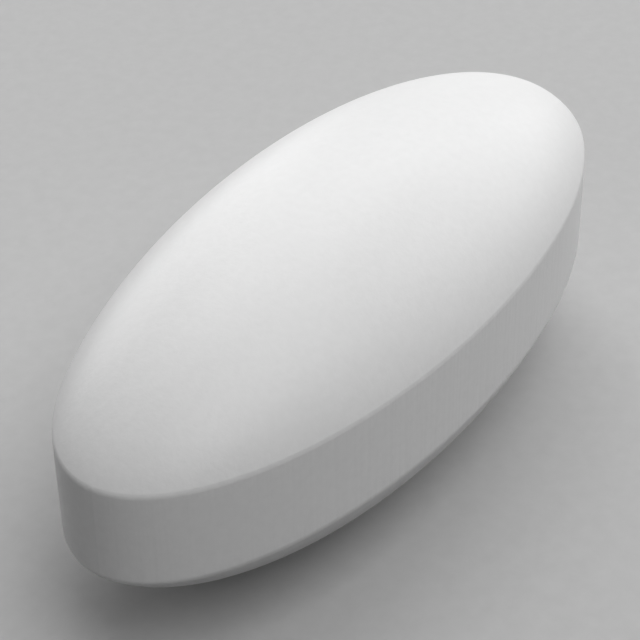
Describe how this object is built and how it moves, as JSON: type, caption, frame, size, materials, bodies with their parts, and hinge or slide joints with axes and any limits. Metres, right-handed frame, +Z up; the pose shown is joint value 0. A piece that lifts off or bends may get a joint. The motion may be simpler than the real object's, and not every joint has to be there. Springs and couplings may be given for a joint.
{
  "type": "magnetic stir bar",
  "caption": "Oval magnetic stir bar: smooth white PTFE body with two shallow domes and an upright side band, moulded round a sealed magnet rod.",
  "frame": {"origin": "the lowest point of the lower dome's crown, under the bar's centre, on which the bar rests and spins", "axes": "+X along the bar's length, which is the magnet rod's axis; +Y across its width; +Z up through the crowns of both domes"},
  "size_m": [0.05, 0.0206, 0.0194],
  "materials": {
    "ptfe": "satin",
    "alnico": "satin"
  },
  "bodies": {
    "root": {"ptfe_jacket": "ptfe", "bar_magnet": "alnico"}
  },
  "joints": []
}
